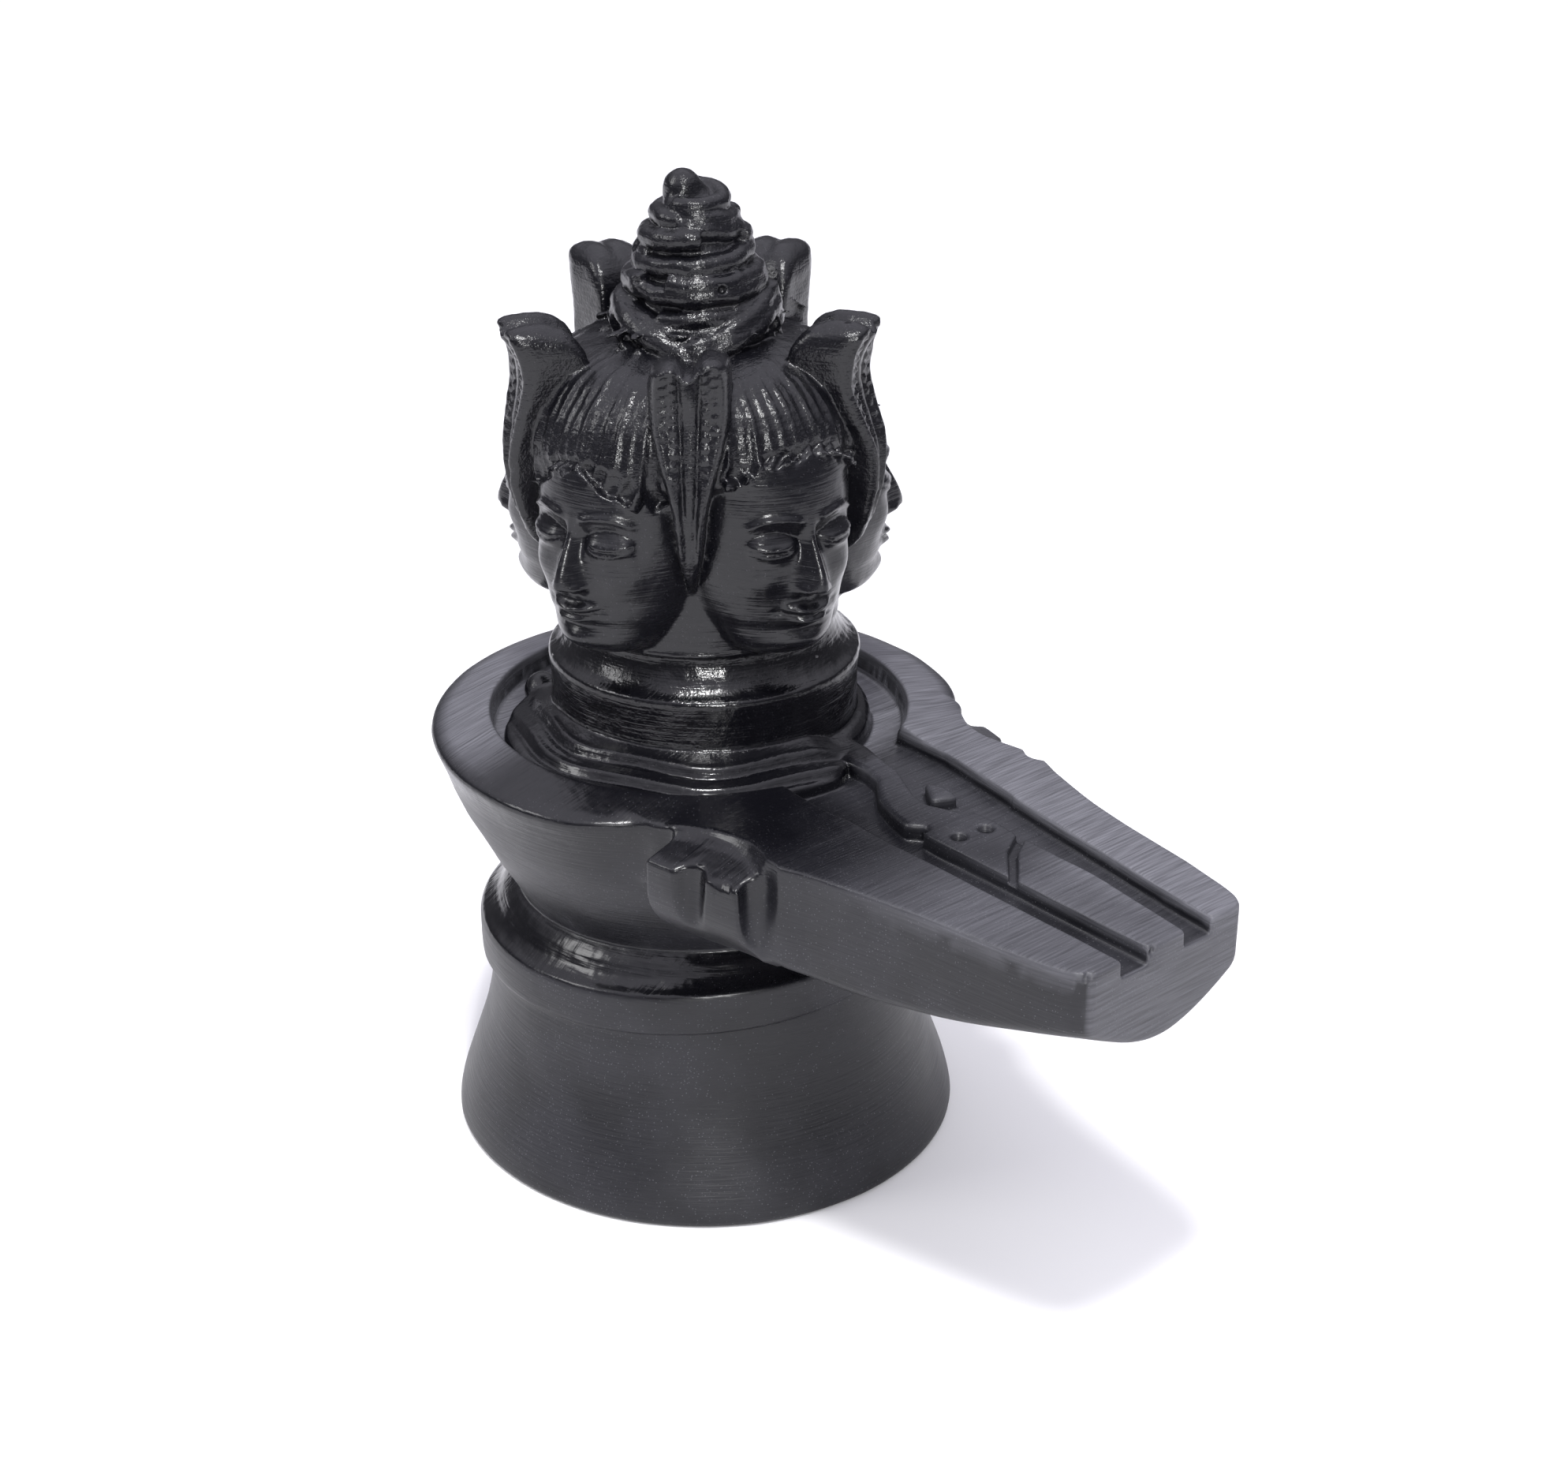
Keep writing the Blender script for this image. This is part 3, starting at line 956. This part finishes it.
    tree.links.new(relief.outputs[0], shader.inputs["Normal"])
    return material


def paleFloor():
    # white board under the stone, matt, so it only takes the soft shadow
    material = bpy.data.materials.new("matt white board")
    material.use_nodes = True
    shader = material.node_tree.nodes["Principled BSDF"]
    shader.inputs["Base Color"].default_value = linearColour("#f6f6f6")
    shader.inputs["Roughness"].default_value = 0.9
    return material


stoneMaterial = blackStone()
print("materials ready")

strands = strandTree()
strandLines, grooveLines = hairGuides()
hairMesh = strandMesh(strands, "combed_hair", strandLines, hair, stoneMaterial)
grooveMesh = strandMesh(strands, "comb_grooves", grooveLines, combed, stoneMaterial)
windingMesh = strandMesh(strands, "wound_hair", windingGuides(), winding, stoneMaterial)

lowerGrid = gridOf((-28.8, -28.8, -0.8), (66.2, 28.8, carving["splitHeight"]))
lowerStone = fieldArray(baseField, lowerGrid)
print("base carved:", lowerStone.shape)

upperGrid = gridOf((-24.5, -24.5, carving["splitHeight"]), (24.5, 24.5, 105.6))
upperStone = meshArray([headMesh()], upperGrid)
trenches = fieldArray(trenchesField, upperGrid)
combedHair = softMax(meshArray([hairMesh], upperGrid), hair["shortOfHood"] - trenches, 0.2)
upperStone = softMin(upperStone, combedHair, 0.3)
upperStone = softMax(upperStone, -meshArray([grooveMesh], upperGrid), 0.15)
upperStone = softMax(upperStone, -trenches, 0.3)
upperStone = softMin(upperStone, fieldArray(hoodsField, upperGrid), 0.2)
upperStone = softMin(upperStone, meshArray([topknotMesh(), windingMesh], upperGrid), 0.15)
upperStone = softMin(upperStone, fieldArray(knobField, upperGrid), 0.4)
upperStone = softMin(upperStone, fieldArray(neckField, upperGrid), 0.25)
upperStone = softMax(upperStone, -fieldArray(pitsField, upperGrid), 0.15)
print("head carved:", upperStone.shape)

points, quads = withoutCrumbs(*surfaceOf([(lowerStone, lowerGrid), (upperStone, upperGrid)]))
mesh = bpy.data.meshes.new("shiva_lingam_stone")
mesh.from_pydata(points.tolist(), [], quads.tolist())
normals = np.zeros(len(points) * 3, np.float32)
mesh.vertices.foreach_get("normal", normals)
carved = carveByHand(points, normals.reshape(-1, 3)) * metresPerMm
mesh.vertices.foreach_set("co", carved.astype(np.float32).ravel())
stone = addObject("shiva_lingam_stone", mesh)
print("skin:", len(points), "corners")

thin = stone.modifiers.new("thin", "DECIMATE")
thin.ratio = min(1, carving["triangles"] / (2 * len(quads)))
thinned = bpy.data.meshes.new_from_object(stone.evaluated_get(bpy.context.evaluated_depsgraph_get()))
stone.modifiers.clear()
stone.data = thinned
thinned.materials.append(stoneMaterial)
corners = np.zeros(len(thinned.vertices) * 3, np.float32)
thinned.vertices.foreach_get("co", corners)
corners = corners.reshape(-1, 3) / metresPerMm
addAttribute(thinned, "grit", gritOf(corners))
addAttribute(thinned, "shine", shineOf(corners))
addAttribute(thinned, "dry", dryOf(corners))
thinned.shade_smooth()
print("stone:", len(thinned.polygons), "faces,", int((corners[:, 2] > 57).sum()), "corners in the head")

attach(stone, "root")
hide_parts("shiva_lingam")

floorMesh = bpy.data.meshes.new("floor")
floorMesh.from_pydata([(-3, -3, 0), (3, -3, 0), (3, 3, 0), (-3, 3, 0)], [], [(0, 1, 2, 3)])
floorMesh.materials.append(paleFloor())
floor = addObject("floor", floorMesh)

# Camera: where the photograph was taken from, in mm; its picture is 1988 pixels wide
view = {"place": (203.4, -167.7, 169.9), "turn": 50.5, "yaw": 0.0340018, "pitch": 0.445218,
        "roll": 0.0055401, "focalPixels": 3500, "widthPixels": 1988, "sensor": 36}


def addCamera():
    camera = addObject("camera", bpy.data.cameras.new("camera"))
    yaw, pitch, roll = view["yaw"], view["pitch"], view["roll"]
    ahead = Vector((math.sin(yaw) * math.cos(pitch), math.cos(yaw) * math.cos(pitch), -math.sin(pitch)))
    right = Vector((math.cos(yaw), -math.sin(yaw), 0))
    upward = right.cross(ahead)
    side = right * math.cos(roll) + upward * math.sin(roll)
    upward = upward * math.cos(roll) - right * math.sin(roll)
    turned = Matrix.Rotation(view["turn"] * degree, 3, "Z") @ Matrix((side, upward, -ahead)).transposed()
    camera.matrix_world = Matrix.Translation(Vector(view["place"]) * metresPerMm) @ turned.to_4x4()
    camera.data.sensor_width = view["sensor"]
    camera.data.lens = view["focalPixels"] / view["widthPixels"] * view["sensor"]
    camera.data.clip_start, camera.data.clip_end = 0.01, 20
    bpy.context.scene.camera = camera


def addLight(name, place, target, size, power):
    light = addObject(name, bpy.data.lights.new(name, "AREA"))
    light.data.size = size
    light.data.energy = power
    away = Vector(place) - Vector(target)
    turned = away.to_track_quat("Z", "Y").to_matrix().to_4x4()
    light.matrix_world = Matrix.Translation(Vector(place)) @ turned


# Light: a room that is dim at the sides and white overhead, with a window overhead, a tall window
# behind the camera and a soft key from the left
studio = {"colour": "#f2f0fc", "sides": 0.19, "overhead": 1.5, "from": 0.34, "to": 0.85}


def addRoom():
    world = bpy.data.worlds.new("white room")
    world.use_nodes = True
    tree = world.node_tree
    toward = addNode(tree, "ShaderNodeTexCoord").outputs["Generated"]
    height = addNode(tree, "ShaderNodeSeparateXYZ", {0: toward}).outputs["Z"]
    strength = addNode(tree, "ShaderNodeMapRange", {"Value": height, "From Min": studio["from"],
                                                    "From Max": studio["to"], "To Min": studio["sides"],
                                                    "To Max": studio["overhead"]})
    tree.nodes["Background"].inputs["Color"].default_value = linearColour(studio["colour"])
    tree.links.new(strength.outputs[0], tree.nodes["Background"].inputs["Strength"])
    bpy.context.scene.world = world


addCamera()
addRoom()
addLight("overhead window", (0.25, -0.22, 0.9), (0, 0, 0.06), 0.1, 5)
addLight("tall window", (0.95, -0.68, 0.55), (0, 0, 0.05), 0.09, 7)
addLight("soft key", (-0.45, -0.7, 0.7), (0, 0, 0.04), 0.3, 2)
bpy.context.scene.view_settings.view_transform = "Standard"
